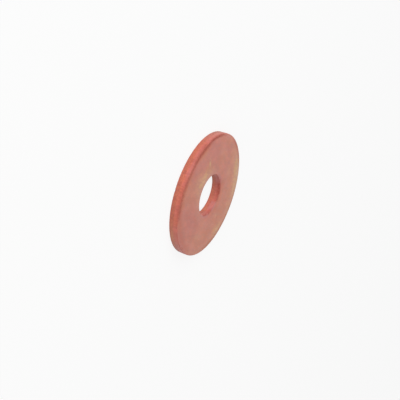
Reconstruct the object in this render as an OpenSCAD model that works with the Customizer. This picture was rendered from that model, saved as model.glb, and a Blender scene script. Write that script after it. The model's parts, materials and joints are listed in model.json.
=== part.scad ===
/* [Washer] */
// Outside diameter
outer_d = 15; // [10:0.5:40]
// Diameter of the hole
bore_d = 5; // [2:0.1:10]
// Thickness between the two faces
thickness = 1.15; // [0.8:0.05:4]

/* [Rolled edge] */
// Reach of the rolled edge over the upper face
roll_w = 1.2; // [0.3:0.1:2.4]
// Radius of the rolled edge
roll_r = 7.2; // [2.2:0.2:20]
// Radius of the nose where the rolled edge turns into the cut wall
nose_r = 0.08; // [0.02:0.01:0.2]

/* [Cut wall] */
// Height of the torn band above the lower face
torn_h = 0.55; // [0.1:0.05:0.9]
// Depth by which the torn band has fallen back at the lower face
torn_depth = 0.03; // [0:0.01:0.1]
// Radius of the lower edge
lower_edge_r = 0.05; // [0.01:0.01:0.1]

/* [Hidden] */

round_facets = 180;
fibre_red = [0.73, 0.45, 0.38];

outer_r = outer_d / 2;
bore_r = bore_d / 2;

// Points of a cut edge have x as the depth behind the sheared wall and y as the height above a face

// Arc of the rolled edge, measured from the upper face and level where it leaves that face
roll_centre = [roll_w, -roll_r];
roll_top = [roll_w, 0];

// Arc of the nose, measured from the upper face, which touches the sheared wall and the rolled edge
nose_rise = sqrt(pow(roll_r - nose_r, 2) - pow(roll_w - nose_r, 2));
nose_centre = roll_centre + [nose_r - roll_w, nose_rise];
nose_foot = [0, nose_centre.y];
nose_top = roll_centre + roll_r / (roll_r - nose_r) * (nose_centre - roll_centre);

// Arc of the lower edge, measured from the lower face, which touches that face and the torn band
torn_lean = atan2(torn_depth, torn_h);
lower_edge_inset = torn_depth + lower_edge_r * (1 - sin(torn_lean)) / cos(torn_lean);
lower_edge_centre = [lower_edge_inset, lower_edge_r];
lower_edge_foot = [lower_edge_inset, 0];
lower_edge_top = lower_edge_centre - lower_edge_r * [cos(torn_lean), sin(torn_lean)];

// What lies outside an arc, within the corner that the arc rounds off
module outside_arc(centre, radius, corner) {
    difference() {
        polygon(corner);
        translate(centre)
            circle(radius, $fn = round_facets);
    }
}

// What a cut edge lacks at the lower face
module lower_cut() {
    outside_arc(
        lower_edge_centre, lower_edge_r,
        [[torn_depth, 0], lower_edge_foot, lower_edge_centre, lower_edge_top]
    );
}

// What a cut edge lacks at the upper face: first along the nose, then along the rolled edge
module upper_cut() {
    outside_arc(
        nose_centre, nose_r,
        [nose_foot, nose_centre, nose_top, [nose_top.x, 0], [0, 0]]
    );
    outside_arc(
        roll_centre, roll_r,
        [nose_top, [roll_top.x, nose_top.y], roll_top, [nose_top.x, 0]]
    );
}

module edge_cuts() {
    lower_cut();
    translate([0, thickness])
        upper_cut();
}

// Section of the ring on one side of its axis
module ring_section() {
    difference() {
        polygon([
            [bore_r + torn_depth, 0], [outer_r - torn_depth, 0],
            [outer_r, torn_h], [outer_r, thickness],
            [bore_r, thickness], [bore_r, torn_h]
        ]);
        translate([bore_r, 0])
            edge_cuts();
        translate([outer_r, 0])
            mirror([1, 0])
                edge_cuts();
    }
}

// A flat ring punched from sheet, with both rolled edges on its upper face
module washer() {
    color(fibre_red)
        rotate_extrude($fn = round_facets)
            ring_section();
}

washer();
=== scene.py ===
import json
import math

import bpy
import numpy as np
from mathutils import Matrix, Vector, noise


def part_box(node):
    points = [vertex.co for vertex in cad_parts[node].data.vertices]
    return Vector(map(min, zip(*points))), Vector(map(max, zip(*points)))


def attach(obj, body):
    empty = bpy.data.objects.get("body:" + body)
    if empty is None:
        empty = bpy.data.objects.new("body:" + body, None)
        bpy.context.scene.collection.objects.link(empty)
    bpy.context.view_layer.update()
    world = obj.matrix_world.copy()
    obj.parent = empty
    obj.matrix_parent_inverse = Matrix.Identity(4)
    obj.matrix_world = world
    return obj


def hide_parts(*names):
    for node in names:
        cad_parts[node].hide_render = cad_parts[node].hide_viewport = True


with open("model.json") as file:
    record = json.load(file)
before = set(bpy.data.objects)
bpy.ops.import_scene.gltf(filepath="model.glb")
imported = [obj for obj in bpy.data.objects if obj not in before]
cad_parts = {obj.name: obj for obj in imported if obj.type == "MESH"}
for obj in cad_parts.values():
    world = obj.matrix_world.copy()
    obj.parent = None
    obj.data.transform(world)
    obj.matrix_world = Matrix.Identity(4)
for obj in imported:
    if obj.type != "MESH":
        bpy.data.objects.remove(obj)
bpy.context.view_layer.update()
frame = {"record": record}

MM = 0.001

# Sizes of the washer, from the frame
lowest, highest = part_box("washer")
OUTER_R = (highest.x - lowest.x) / 2
THICKNESS = highest.z - lowest.z
bore_mount = next(mount for mount in frame["record"]["mounts"] if mount["name"] == "bore")
BORE_R = bore_mount["dims"]["r_mm"] * MM

# Section of a cut edge: the rolled edge over the upper face, its nose, the torn band and the lower edge
ROLL_W = 1.2 * MM
ROLL_R = 7.2 * MM
NOSE_R = 0.08 * MM
TORN_H = 0.55 * MM
TORN_DEPTH = 0.03 * MM
LOWER_EDGE_R = 0.05 * MM

# The torn band: how far its upper limit waves and blurs, and the depth of its grain
TORN_LINE_WAVE = 0.12 * MM
TORN_LINE_BLUR = 0.04 * MM
TORN_GRAIN_DEPTH = 0.018 * MM

# How far the middle of the grain lies behind the wall, as a share of its depth
TORN_GRAIN_SINK = 0.6

# How far dark lips, partly painted shade, and pale lines of painted sheen wander up and down an edge
LINE_WANDER = 0.05 * MM

# Noises round an edge: size of the features, how many times finer the second noise is, and its share
TORN_LINE_NOISE = (1.1 * MM, 4, 0.5)
TORN_GRAIN_NOISE = (0.16 * MM, 2, 0.6)
LINE_NOISE = (0.9 * MM, 3, 0.7)

# Steps between the seeds of the noises on one edge
FINE_SEED = 2
GRAIN_SEED = 3
LINE_SEED = 9

# Marks on the two cut edges. Each starts with its angle round the ring in degrees and ends with its
# strength. A shallow stretch, which is rolled less, or a rubbed one has its half length in degrees.
# A rubbed stretch is paler: partly rubbing, partly painted sheen. A dark rough lip or a pale line has
# its half length in degrees, then how far past the top of the wall it lies and its half width in mm.
# The dark lips are partly the lip's own colour and partly painted shade, along the rolled edges and
# on the shaded side of the hole; the pale lines are painted sheen. An orange, tan or dull spot has its
# height on the wall, then its reach along the wall and up it in mm. The broad orange band low on the
# wall of the hole is painted light.
OUTER_EDGE = {
    "seed": 11,
    "nicked": True,
    "shallow": (),
    "lips": (
        (211, 18, 0.14, 0.17, 0.95),
        (235, 16, 0.22, 0.33, 0.84),
        (257, 14, 0.32, 0.20, 0.64),
        (281, 23, 0.20, 0.34, 0.63),
        (320, 30, 0.45, 0.50, 0.20),
        (65, 40, 0.20, 0.40, 0.45),
        (150, 18, 0.15, 0.35, 0.45),
    ),
    "pale": ((249, 18, -0.08, 0.16, 0.65), (207, 16, -0.08, 0.16, 0.60)),
    "rubbed": ((330, 20, 0.35), (203, 16, 0.30)),
    "orange": (
        (235, 0.36, 3.20, 0.28, 0.35),
        (265, 0.50, 0.60, 0.25, 0.60),
        (286, 0.55, 1.50, 0.50, 0.30),
        (301, 0.75, 0.50, 0.22, 0.70),
        (312, 0.68, 2.20, 0.45, 0.50),
        (324, 0.30, 1.50, 0.25, 0.40),
    ),
    "tan": ((322, 0.30, 1.60, 0.22, 0.50), (195, 0.65, 1.20, 0.40, 0.16)),
    "dull": ((268.5, 0.44, 0.13, 0.09, 0.50), (241, 0.26, 1.40, 0.36, 0.12)),
}
BORE_EDGE = {
    "seed": 47,
    "nicked": False,
    "shallow": ((280, 72, 0.46),),
    "lips": (
        (114, 21, 0.04, 0.26, 0.95),
        (91, 11, 0.12, 0.26, 0.55),
        (136, 12, 0.08, 0.20, 0.45),
        (154, 12, 0.10, 0.18, 0.15),
        (42, 12, 0.05, 0.22, 0.55),
        (15, 12, 0.03, 0.12, 0.60),
    ),
    "pale": (),
    "rubbed": ((64, 15, 0.95), (18, 22, 0.70), (150, 20, 0.90), (90, 90, 0.30)),
    # The broad orange band low on the wall of the hole is painted light; the small spot is orange
    "orange": (
        (92, 0.23, 4.00, 0.28, 0.60),
        (48, 0.25, 0.34, 0.20, 1.00),
    ),
    "tan": (
        (15, 0.62, 0.30, 0.16, 0.25),
        (45, 0.22, 0.50, 0.15, 0.40),
        (105, 0.24, 0.35, 0.14, 0.25),
        (143, 0.10, 0.90, 0.12, 0.45),
    ),
    "dull": (),
}

# Where a stretch or line starts to fade and where it ends, as shares of its half length
FADE_START = 0.5
FADE_END = 1.5

# How much of the rubbing and its painted sheen reaches the torn band, and where it fades past the top
# of the wall
TORN_RUBBED = 0.25
RUBBED_FADE_START = 0.15 * MM
RUBBED_FADE_END = 0.60 * MM

# Where the colour of the wall gives way to that of the face, past the top of the wall
CUT_END = 0.14 * MM

# A nick in the lower edge of the outer wall: angle in degrees, half length, height and depth. The nick
# is also painted dark through the lip mark, as painted shade in the notch.
NICK_ANGLE = 276.5
NICK_LENGTH = 0.12 * MM
NICK_HEIGHT = 0.26 * MM
NICK_DEPTH = 0.09 * MM

# Soft patches on the upper face: angle in degrees, radius, reach along the ring and across it in mm,
# and strength
# The worn patches are tan wear and painted sheen: lighter near the hole and along part of the outer
# edge
WORN_PATCHES = (
    (250, 3.50, 1.80, 0.80, 1.00),
    (258, 4.40, 1.20, 0.80, 0.50),
    (222, 4.55, 0.20, 0.60, 1.00),
    (250, 4.24, 0.15, 0.12, 0.70),
    (243, 3.52, 0.15, 0.12, 0.95),
    (56, 6.50, 1.10, 0.55, 0.75),
    (61, 4.20, 0.17, 0.13, 0.90),
    (88, 5.85, 0.25, 0.18, 0.60),
    (124, 6.65, 2.50, 0.85, 1.30),
    (107, 6.75, 1.60, 0.80, 1.15),
    (86, 6.60, 1.30, 0.60, 0.40),
    (139, 4.70, 1.00, 0.60, 0.30),
    (2, 5.20, 0.70, 0.40, 0.30),
)
DEEP_PATCHES = (
    (322, 4.90, 2.60, 1.90, 1.00),
    (25, 6.00, 1.50, 0.80, 0.50),
    (4, 6.80, 0.30, 0.12, 1.00),
    (90, 5.10, 0.35, 0.40, 0.60),
    (55, 4.80, 3.50, 1.30, 0.40),
    (15, 5.20, 2.00, 1.20, 0.25),
    (270, 5.00, 4.00, 2.00, 0.20),
)
AMBER_PATCHES = (
    (52, 5.80, 0.80, 0.60, 1.00),
    (57, 6.50, 1.00, 0.55, 1.00),
    (54, 4.80, 0.80, 0.50, 0.65),
    (65, 5.00, 3.60, 1.60, 0.60),
    (24, 5.70, 2.60, 1.70, 0.55),
    (105, 5.20, 3.00, 1.20, 0.45),
    (65, 7.15, 8.00, 0.80, 0.75),
)
# Dull patches darken and roughen the face near its edges, through the same mask as the dark lips
DULL_PATCHES = (
    (341, 7.30, 0.50, 0.12, 0.40),
    (353, 7.00, 0.30, 0.07, 0.40),
    (62, 4.80, 0.20, 0.14, 0.35),
)

# How finely the mesh is cut
TURNS = 720
LOWER_STEPS = 6
WALL_STEPS = 18
NOSE_STEPS = 6
ROLL_STEPS = 18
UPPER_FACE_STEPS = 20
LOWER_FACE_STEPS = 10

ANGLES = np.linspace(0, 2 * math.pi, TURNS, endpoint=False)

# What marks a point of the surface, each from 0 to about 1. On a wall, amber is orange and worn is tan.
# The lip mark is a rough dark lip with painted shade, rubbed is rubbing with painted sheen, worn is
# wear with painted sheen on the face, and amber carries painted light low in the hole.
MARKS = ("cut", "torn", "lip", "worn", "deep", "amber", "rubbed")


def arc(centre, radius, start, end, steps):
    """Points on an arc, as depth behind the wall and height, from start to end in radians."""
    return [
        (centre[0] + radius * math.cos(angle), centre[1] + radius * math.sin(angle))
        for angle in np.linspace(start, end, steps + 1)
    ]


def edge_section():
    """A cut edge from its foot: points of its lower edge, heights of its wall, points of its top."""
    lean = math.atan2(TORN_DEPTH, TORN_H)
    inset = TORN_DEPTH + LOWER_EDGE_R * (1 - math.sin(lean)) / math.cos(lean)
    lower = arc((inset, LOWER_EDGE_R), LOWER_EDGE_R, 1.5 * math.pi, math.pi + lean, LOWER_STEPS)

    roll_centre = (ROLL_W, THICKNESS - ROLL_R)
    rise = math.sqrt((ROLL_R - NOSE_R) ** 2 - (ROLL_W - NOSE_R) ** 2)
    nose_end = math.atan2(rise, NOSE_R - ROLL_W)
    nose = arc((NOSE_R, roll_centre[1] + rise), NOSE_R, math.pi, nose_end, NOSE_STEPS)
    roll = arc(roll_centre, ROLL_R, nose_end, math.pi / 2, ROLL_STEPS)

    heights = np.linspace(lower[-1][1], nose[0][1], WALL_STEPS + 1)[1:-1]
    return lower, heights, nose + roll[1:]


def ramp(value, start, end):
    """0 before start, 1 past end and smooth between them."""
    share = np.clip((value - start) / (end - start), 0, 1)
    return share * share * (3 - 2 * share)


def turn_from(degrees):
    """Angle of every point of the ring from a given one, from half a turn back to half a turn on."""
    return (ANGLES - math.radians(degrees) + math.pi) % (2 * math.pi) - math.pi


def on_arc(middle, half):
    """1 over the middle of an arc of the ring, fading to 0 past its ends."""
    away = np.abs(turn_from(middle))
    return 1 - ramp(away, math.radians(half * FADE_START), math.radians(half * FADE_END))


def on_arcs(arcs):
    """How strongly a set of arcs covers the ring."""
    cover = np.zeros(TURNS)
    for degrees, half, strength in arcs:
        cover = np.maximum(cover, strength * on_arc(degrees, half))
    return cover


def on_patches(patches, radius, level):
    """How strongly soft patches cover a ring of points, at a radius on a face or a height on a wall."""
    cover = np.zeros(TURNS)
    for degrees, middle, along, across, strength in patches:
        beside = turn_from(degrees) * radius / (along * MM)
        above = (level - middle * MM) / (across * MM)
        cover = np.maximum(cover, strength * np.exp(-(beside**2) - above**2))
    return cover


def on_lines(lines, wander, past):
    """How strongly a set of lines covers a cut edge, at a distance past the top of its wall: dark lines
    that are partly painted shade, and paler lines of painted sheen.
    """
    cover = np.zeros(TURNS)
    for degrees, half, middle, width, strength in lines:
        away = (past - middle * MM - wander) / (width * MM)
        cover = np.maximum(cover, strength * on_arc(degrees, half) * np.exp(-(away**2)))
    return cover


def ring_noise(radius, height, size, seed):
    """Noise from -1 to 1 all round the ring, with features of that size."""
    ring = np.stack([radius * np.cos(ANGLES), radius * np.sin(ANGLES), np.full(TURNS, height)], axis=-1)
    return np.array([noise.noise(Vector(point) + Vector((0, 0, seed))) for point in ring / size])


def layered_noise(radius, height, layers, seed):
    """Noise all round the ring, with a share of a finer one on it."""
    size, finer, share = layers
    fine = ring_noise(radius, height, size / finer, seed + FINE_SEED)
    return ring_noise(radius, height, size, seed) + share * fine


def nick(height):
    """Depth of the nick at that height, all round the outer wall, as a share of its full depth."""
    along = turn_from(NICK_ANGLE) * OUTER_R / NICK_LENGTH
    return np.exp(-(along**2)) * max(0, 1 - height / NICK_HEIGHT)


def make_row(radius, height, **marks):
    """One ring of points, with what marks its surface there."""
    row = {"radius": radius, "height": height, **dict.fromkeys(MARKS, 0.0), **marks}
    return {name: np.broadcast_to(value, TURNS) for name, value in row.items()}


def upper_row(radius, height, lip=0.0, **marks):
    """One ring of points on the upper face or its rolled edges, with its patches of wear, some of them
    painted sheen, and darker dull spots.
    """
    return make_row(
        radius,
        height,
        worn=on_patches(WORN_PATCHES, radius, radius),
        deep=on_patches(DEEP_PATCHES, radius, radius),
        amber=on_patches(AMBER_PATCHES, radius, radius),
        lip=np.maximum(lip, on_patches(DULL_PATCHES, radius, radius)),
        **marks,
    )


def cut_edge(wall_r, inwards, edge):
    """Rows of points up a cut edge, from the lower face to the upper one."""
    lower, heights, upper = edge_section()
    wall_top = upper[0][1]
    line = TORN_H + TORN_LINE_WAVE * layered_noise(wall_r, 0, TORN_LINE_NOISE, edge["seed"])
    wander = LINE_WANDER * layered_noise(wall_r, wall_top, LINE_NOISE, edge["seed"] + LINE_SEED)
    rubbed = on_arcs(edge["rubbed"])
    shallow = on_arcs(edge["shallow"])

    def wall_row(depth, z, torn):
        """One ring of points on the wall or its lower edge, at a depth behind the wall."""
        notch = nick(z) if edge["nicked"] else np.zeros(TURNS)
        # The nick and the dull spots darken the wall through the lip mask; on the nick this is painted
        # shade
        spots = np.maximum(notch, on_patches(edge["dull"], wall_r, z))
        # The rubbed stretches: rubbing with painted sheen, fainter on the torn band
        smooth = rubbed * (1 - torn) + np.minimum(rubbed, TORN_RUBBED) * torn
        return make_row(
            wall_r + inwards * (depth + NICK_DEPTH * notch),
            z,
            cut=float(z > 0),
            torn=torn,
            lip=np.maximum(spots, on_lines(edge["lips"], wander, z - wall_top)),
            rubbed=np.maximum(smooth, on_lines(edge["pale"], wander, z - wall_top)),
            amber=on_patches(edge["orange"], wall_r, z),
            worn=on_patches(edge["tan"], wall_r, z),
        )

    rows = [wall_row(depth, z, float(z > 0)) for depth, z in lower]
    for z in heights:
        torn = 1 - ramp(z, line - TORN_LINE_BLUR, line + TORN_LINE_BLUR)
        grain = layered_noise(wall_r, z, TORN_GRAIN_NOISE, edge["seed"] + GRAIN_SEED)
        fall = TORN_DEPTH * np.clip(1 - z / line, 0, 1)
        rows.append(wall_row(fall + TORN_GRAIN_DEPTH * torn * (TORN_GRAIN_SINK + grain), z, torn))
    for depth, z in upper:
        # Dark lips over the rolled edge: partly the lip's own colour, partly painted shade
        lip = on_lines(edge["lips"], wander, depth)
        cut = 1 - ramp(depth, 0, CUT_END)
        # Rubbing with painted sheen over the rolled edge, and pale lines of painted sheen
        smooth = rubbed * (1 - ramp(depth, RUBBED_FADE_START, RUBBED_FADE_END))
        smooth = np.maximum(smooth, on_lines(edge["pale"], wander, depth))
        height = z + shallow * (THICKNESS - z)
        rows.append(upper_row(wall_r + inwards * depth, height, lip, cut=cut, rubbed=smooth))
    return rows


def between(start, end, steps):
    """Radii of the rings that a flat face has between two rows of points."""
    return np.linspace(start["radius"][0], end["radius"][0], steps + 1)[1:-1]


def make_washer():
    """The washer as one closed mesh, lathed from its section."""
    outer = cut_edge(OUTER_R, -1, OUTER_EDGE)
    bore = cut_edge(BORE_R, 1, BORE_EDGE)
    lower_radii = between(bore[0], outer[0], LOWER_FACE_STEPS)
    upper_radii = between(outer[-1], bore[-1], UPPER_FACE_STEPS)
    lower_face = [make_row(radius, 0) for radius in lower_radii]
    upper_face = [upper_row(radius, THICKNESS) for radius in upper_radii]
    rows = lower_face + outer + upper_face + bore[::-1]
    rings = {name: np.array([row[name] for row in rows]) for name in rows[0]}
    points = np.stack(
        [rings["radius"] * np.cos(ANGLES), rings["radius"] * np.sin(ANGLES), rings["height"]], axis=-1
    )

    this_row, this_turn = np.meshgrid(np.arange(len(rows)), np.arange(TURNS), indexing="ij")
    next_row = (this_row + 1) % len(rows)
    next_turn = (this_turn + 1) % TURNS
    corners = [
        (this_row, this_turn),
        (this_row, next_turn),
        (next_row, next_turn),
        (next_row, this_turn),
    ]
    faces = np.stack([row * TURNS + turn for row, turn in corners], axis=-1).reshape(-1, 4)

    mesh = bpy.data.meshes.new("fibre_washer")
    mesh.from_pydata(points.reshape(-1, 3).tolist(), [], faces.tolist())
    for name in MARKS:
        values = rings[name].ravel().astype(np.float32)
        mesh.attributes.new(name, "FLOAT", "POINT").data.foreach_set("value", values)
    mesh.shade_smooth()
    washer = bpy.data.objects.new("fibre_washer", mesh)
    bpy.context.scene.collection.objects.link(washer)
    return washer


# Colours of the fibre
FACE_PINK = (0.520, 0.133, 0.088, 1)
FACE_AMBER = (0.550, 0.182, 0.036, 1)
FACE_DEEP = (0.485, 0.108, 0.066, 1)
# Tan of wear, also used as painted sheen on the face
WORN_TAN = (0.575, 0.288, 0.113, 1)
BLOOM = (0.620, 0.300, 0.240, 1)
# Dark red of the rough lips, also used as painted shade along the rolled edges, in the hole and the
# nick
LIP_DARK = (0.318, 0.063, 0.042, 1)
SHEARED_PINK = (0.535, 0.132, 0.101, 1)
SHEARED_RED = (0.512, 0.124, 0.077, 1)
# Pale mauve of rubbed stretches: partly rubbing, partly painted sheen on the walls and lips
RUBBED = (0.485, 0.158, 0.140, 1)
TORN_RED = (0.385, 0.092, 0.066, 1)
TORN_ORANGE = (0.465, 0.134, 0.076, 1)
# Orange of spots on the walls, also used as painted light low on the wall of the hole
WALL_ORANGE = (0.600, 0.150, 0.080, 1)

# Noises in the fibre: features to the millimetre, detail, and how rough that detail is
CLOUDS = (0.55, 3.0, 0.5)
BLOTCHES = (1.0, 3.0, 0.5)
MOTTLES = (2.4, 4.0, 0.6)
CRUMBS = (5.0, 4.0, 0.65)
GRAINS = (9.0, 3.0, 0.6)
STREAKS = (6.0, 3.0, 0.6)
FIBRES = (1.0, 2.0, 0.5)

# How the noises are drawn out: along the sheet's grain, down the sheared wall and along the fibres
SHEET_GRAIN = (1.0, 0.55, 1.0)
WALL_GRAIN = (1.0, 1.0, 0.12)
FIBRE_GRAIN = (9.0, 1.2, 1.0)

# Turns of the noise that tell the layers of fibres apart, in degrees
FIBRE_TURNS = (12, 71, 133)

# Values of a noise between which a pattern comes in: nearly all of its range, or a part of it
NOISE_SPAN = (0.30, 0.70)
CLOUD_SPAN = (0.35, 0.65)
SHEARED_SPAN = (0.38, 0.62)
TORN_SPAN = (0.38, 0.60)
FIBRE_SPAN = (0.50, 0.80)
SPECK_SPAN = (0.60, 0.74)

# How far each pattern changes what it lies on
CLOUD_AMBER = (0.0, 0.3)
WORN_STRENGTH = (0.45, 1.25)
RUBBED_STRENGTH = (0.75, 1.10)
LIP_STRENGTH = (0.60, 1.20)
BLOOM_STRENGTH = (0.0, 0.10)
FIBRE_SHADE = (0.97, 1.06)
SPECK_SHADE = (1.0, 0.90)
FACE_BLOTCH = 0.05
FACE_MOTTLE = 0.06
SHEARED_STREAK = 0.15
SHEARED_MOTTLE = 0.08
TORN_GRAIN = 0.12
TORN_MOTTLE = 0.10

# Roughness of each surface, index of refraction, level of reflection and depth of the fine relief
FACE_ROUGH = (0.29, 0.39)
LIP_ROUGH = 0.80
SHEARED_ROUGH = 0.45
TORN_ROUGH = 0.50
FIBRE_IOR = 1.5
FIBRE_SPECULAR = 0.5
FIBRE_BUMP = 0.004 * MM
TORN_BUMP = 0.010 * MM


class Nodes:
    """Adds nodes to a node tree.

    An input is a plain value or another node's output. A socket goes by its name, or by its number
    where several sockets of a node share a name.
    """

    def __init__(self, owner):
        owner.use_nodes = True
        self.tree = owner.node_tree
        self.tree.nodes.clear()

    def add(self, kind, inputs, **settings):
        """A new node of that kind, with its inputs and settings."""
        node = self.tree.nodes.new(kind)
        for name, value in settings.items():
            setattr(node, name, value)
        for socket, value in inputs.items():
            if isinstance(value, bpy.types.NodeSocket):
                self.tree.links.new(value, node.inputs[socket])
            else:
                node.inputs[socket].default_value = value
        return node

    def attribute(self, name):
        """A mark as the mesh holds it."""
        return self.add("ShaderNodeAttribute", {}, attribute_name=name).outputs["Fac"]

    def maths(self, operation, first, second):
        """Two numbers put together, such as their product."""
        return self.add("ShaderNodeMath", {0: first, 1: second}, operation=operation).outputs[0]

    def noise(self, vector, scale, detail, rough):
        """A noise from 0 to 1, with most of it near the middle."""
        inputs = {"Vector": vector, "Scale": scale, "Detail": detail, "Roughness": rough}
        return self.add("ShaderNodeTexNoise", inputs).outputs[0]

    def stretch(self, vector, scale, degrees=0):
        """A place scaled along each axis, then turned about the upright one."""
        inputs = {"Vector": vector, "Scale": scale, "Rotation": (0, 0, math.radians(degrees))}
        return self.add("ShaderNodeMapping", inputs).outputs[0]

    def remap(self, value, start, end, low=0.0, high=1.0):
        """A number that goes smoothly from low to high as the value goes from start to end."""
        inputs = {0: value, 1: start, 2: end, 3: low, 4: high}
        return self.add("ShaderNodeMapRange", inputs, interpolation_type="SMOOTHSTEP").outputs[0]

    def mix(self, factor, first, second, blend="MIX"):
        """Two colours mixed."""
        inputs = {0: factor, 6: first, 7: second}
        return self.add("ShaderNodeMix", inputs, data_type="RGBA", blend_type=blend).outputs[2]

    def blend(self, factor, first, second):
        """Two numbers mixed."""
        inputs = {0: factor, 2: first, 3: second}
        return self.add("ShaderNodeMix", inputs, data_type="FLOAT").outputs[0]

    def shade(self, colour, value):
        """A colour times a number."""
        return self.mix(1.0, colour, value, "MULTIPLY")

    def vary(self, colour, pattern, amount):
        """A colour made darker and lighter by a pattern, by that share at most."""
        return self.shade(colour, self.remap(pattern, *NOISE_SPAN, 1 - amount, 1 + amount))

    def mark(self, name, pattern, strength):
        """A mark of the mesh, made uneven by a pattern."""
        return self.maths("MULTIPLY", self.attribute(name), self.remap(pattern, *NOISE_SPAN, *strength))


def fibre_material():
    """Copper-red vulcanised fibre: a calendered face, a sheared and a torn band, and marks of wear,
    some of which are painted shade along the edges and painted sheen and light.
    """
    material = bpy.data.materials.new("red_fibre")
    nodes = Nodes(material)
    spot = nodes.add("ShaderNodeTexCoord", {}).outputs["Object"]
    place = nodes.stretch(spot, (1 / MM, 1 / MM, 1 / MM))
    sheet = nodes.stretch(place, SHEET_GRAIN)
    cloud = nodes.noise(place, *CLOUDS)
    blotch = nodes.noise(sheet, *BLOTCHES)
    mottle = nodes.noise(sheet, *MOTTLES)
    grain = nodes.noise(place, *GRAINS)
    crumb = nodes.noise(place, *CRUMBS)
    streak = nodes.noise(nodes.stretch(place, WALL_GRAIN), *STREAKS)
    fibres = [
        nodes.noise(nodes.stretch(place, FIBRE_GRAIN, degrees), *FIBRES) for degrees in FIBRE_TURNS
    ]
    fibre = nodes.maths("MAXIMUM", nodes.maths("MAXIMUM", fibres[0], fibres[1]), fibres[2])

    cut = nodes.attribute("cut")
    torn = nodes.attribute("torn")
    amber = nodes.attribute("amber")
    worn = nodes.mark("worn", mottle, WORN_STRENGTH)
    rubbed = nodes.mark("rubbed", mottle, RUBBED_STRENGTH)
    lip = nodes.mark("lip", crumb, LIP_STRENGTH)

    tint = nodes.maths("MAXIMUM", nodes.remap(cloud, *CLOUD_SPAN, *CLOUD_AMBER), amber)
    face = nodes.mix(tint, FACE_PINK, FACE_AMBER)
    face = nodes.mix(nodes.attribute("deep"), face, FACE_DEEP)
    # Worn patches: tan wear with painted sheen
    face = nodes.mix(worn, face, WORN_TAN)
    face = nodes.vary(nodes.vary(face, blotch, FACE_BLOTCH), mottle, FACE_MOTTLE)
    face = nodes.mix(nodes.remap(blotch, *NOISE_SPAN, *BLOOM_STRENGTH), face, BLOOM)
    face = nodes.shade(face, nodes.remap(fibre, *FIBRE_SPAN, *FIBRE_SHADE))
    face = nodes.shade(face, nodes.remap(grain, *SPECK_SPAN, *SPECK_SHADE))

    sheared = nodes.mix(nodes.remap(blotch, *SHEARED_SPAN), SHEARED_PINK, SHEARED_RED)
    sheared = nodes.vary(nodes.vary(sheared, streak, SHEARED_STREAK), mottle, SHEARED_MOTTLE)
    ragged = nodes.mix(nodes.remap(crumb, *TORN_SPAN), TORN_RED, TORN_ORANGE)
    ragged = nodes.vary(nodes.vary(ragged, grain, TORN_GRAIN), mottle, TORN_MOTTLE)
    # Orange spots on the walls, with painted light low in the hole
    wall = nodes.mix(amber, nodes.mix(torn, sheared, ragged), WALL_ORANGE)
    wall = nodes.mix(worn, wall, WORN_TAN)

    # Rubbed stretches and pale lines: partly rubbing, partly painted sheen
    colour = nodes.mix(rubbed, nodes.mix(cut, face, wall), RUBBED)
    # The dark lip colour: partly the rough lip's own, partly painted shade along the edges and in the
    # nick
    colour = nodes.mix(lip, colour, LIP_DARK)

    wall_rough = nodes.blend(torn, SHEARED_ROUGH, TORN_ROUGH)
    face_rough = nodes.remap(mottle, *NOISE_SPAN, *FACE_ROUGH)
    rough = nodes.blend(lip, nodes.blend(cut, face_rough, wall_rough), LIP_ROUGH)

    relief = nodes.blend(torn, fibre, crumb)
    height = nodes.maths("MULTIPLY", relief, nodes.blend(torn, FIBRE_BUMP, TORN_BUMP))
    # The relief is in metres, so the bump takes it as it is
    bump = nodes.add("ShaderNodeBump", {"Height": height, "Strength": 1.0, "Distance": 1.0})
    shader = nodes.add(
        "ShaderNodeBsdfPrincipled",
        {
            "Base Color": colour,
            "Roughness": rough,
            "IOR": FIBRE_IOR,
            "Specular IOR Level": FIBRE_SPECULAR,
            "Normal": bump.outputs[0],
        },
    )
    nodes.add("ShaderNodeOutputMaterial", {"Surface": shader.outputs[0]})
    return material


# The stage: half the width of a pale floor, the share of it that shows as white, the colours of the
# floor and the surround, and the strength of the light from all round
FLOOR_HALF = 1.5
FLOOR_SHOWN = 0.86
PAPER = (0.85, 0.86, 0.85, 1)
WHITE = (1, 1, 1, 1)
WORLD_LIGHT = 0.5

# Soft lamps at one distance from the washer: name, direction, width and height in metres, and power
# in watts
LAMP_DISTANCE = 0.3
LAMPS = (
    ("key", (-0.66, -0.58, 0.47), 0.25, 0.25, 0.58),
    ("front", (0.0, -1.0, 0.30), 0.30, 0.12, 0.28),
)

# The photograph in pixels: its width, its focal length, and the washer's middle and outer radius
FRAME_PX = 400
FOCAL_PX = 1070
CENTRE_PX = (205.91, 193.77)
RADIUS_PX = 63.96

# Angle between the camera's line of sight and the upright, and how far the picture turns past a
# quarter turn
TILT = math.radians(67.15)
TURN = math.radians(19.11)

# The camera: the width of its sensor, as Blender counts it, and the nearest that it sees
SENSOR_MM = 36
CLIP_START = 1 * MM


def shown_directly(nodes):
    """1 for rays from the camera, a mirror or glass, and 0 for rays that carry light to a surface."""
    path = nodes.add("ShaderNodeLightPath", {})
    seen = nodes.maths("MAXIMUM", path.outputs["Is Camera Ray"], path.outputs["Is Glossy Ray"])
    return nodes.maths("MAXIMUM", seen, path.outputs["Is Transmission Ray"])


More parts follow.
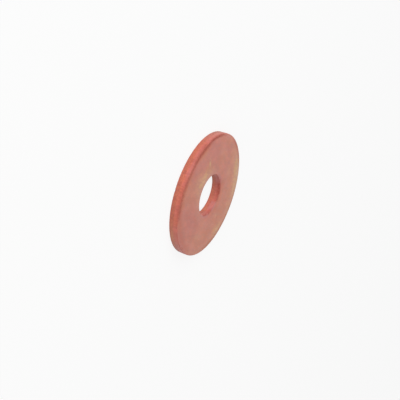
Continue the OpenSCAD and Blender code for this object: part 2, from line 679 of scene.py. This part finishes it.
def make_floor():
    """A plain floor that shows nearly white and keeps a soft shadow."""
    material = bpy.data.materials.new("white_floor")
    nodes = Nodes(material)
    paper = nodes.add("ShaderNodeBsdfDiffuse", {"Color": PAPER}).outputs[0]
    white = nodes.add("ShaderNodeEmission", {"Color": WHITE, "Strength": 1.0}).outputs[0]
    share = nodes.maths("MULTIPLY", shown_directly(nodes), FLOOR_SHOWN)
    mixed = nodes.add("ShaderNodeMixShader", {0: share, 1: paper, 2: white}).outputs[0]
    nodes.add("ShaderNodeOutputMaterial", {"Surface": mixed})

    corners = [(-1, -1), (1, -1), (1, 1), (-1, 1)]
    mesh = bpy.data.meshes.new("floor")
    mesh.from_pydata([(FLOOR_HALF * x, FLOOR_HALF * y, 0) for x, y in corners], [], [(0, 1, 2, 3)])
    floor = bpy.data.objects.new("floor", mesh)
    floor.data.materials.append(material)
    bpy.context.scene.collection.objects.link(floor)


def make_world():
    """Even soft light from all round, and a white surround."""
    world = bpy.data.worlds.new("studio")
    nodes = Nodes(world)
    light = nodes.add("ShaderNodeBackground", {"Color": WHITE, "Strength": WORLD_LIGHT}).outputs[0]
    white = nodes.add("ShaderNodeBackground", {"Color": WHITE, "Strength": 1.0}).outputs[0]
    mixed = nodes.add("ShaderNodeMixShader", {0: shown_directly(nodes), 1: light, 2: white}).outputs[0]
    nodes.add("ShaderNodeOutputWorld", {"Surface": mixed})
    bpy.context.scene.world = world


def make_lamps():
    """Soft lamps that face the washer and don't show in its sheen."""
    for name, direction, width, height, power in LAMPS:
        lamp = bpy.data.lights.new(name, "AREA")
        lamp.shape = "RECTANGLE"
        lamp.size = width
        lamp.size_y = height
        lamp.energy = power
        towards = Vector(direction).normalized()
        holder = bpy.data.objects.new(name, lamp)
        holder.visible_glossy = False
        holder.location = towards * LAMP_DISTANCE
        holder.rotation_euler = towards.to_track_quat("Z", "Y").to_euler()
        bpy.context.scene.collection.objects.link(holder)


def make_camera():
    """The photograph's view of the washer: the same tilt of its face, place, size and perspective."""
    forward = Vector((0, math.sin(TILT), -math.cos(TILT)))
    level = Vector((1, 0, 0))
    rise = level.cross(forward)
    roll = math.pi / 2 + TURN
    right = math.cos(roll) * level + math.sin(roll) * rise
    up = -math.sin(roll) * level + math.cos(roll) * rise

    distance = OUTER_R * FOCAL_PX / RADIUS_PX
    across = (CENTRE_PX[0] - FRAME_PX / 2) * distance / FOCAL_PX
    down = (CENTRE_PX[1] - FRAME_PX / 2) * distance / FOCAL_PX
    middle = Vector((0, 0, THICKNESS / 2))

    data = bpy.data.cameras.new("camera")
    data.sensor_width = SENSOR_MM
    data.lens = FOCAL_PX / FRAME_PX * SENSOR_MM
    data.clip_start = CLIP_START
    camera = bpy.data.objects.new("camera", data)
    pose = Matrix((right, up, -forward)).transposed().to_4x4()
    pose.translation = middle - across * right + down * up - distance * forward
    camera.matrix_world = pose
    bpy.context.scene.collection.objects.link(camera)
    bpy.context.scene.camera = camera


washer = make_washer()
washer.data.materials.append(fibre_material())
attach(washer, "root")
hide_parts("washer")

make_floor()
make_world()
make_lamps()
make_camera()
bpy.context.scene.view_settings.view_transform = "Standard"
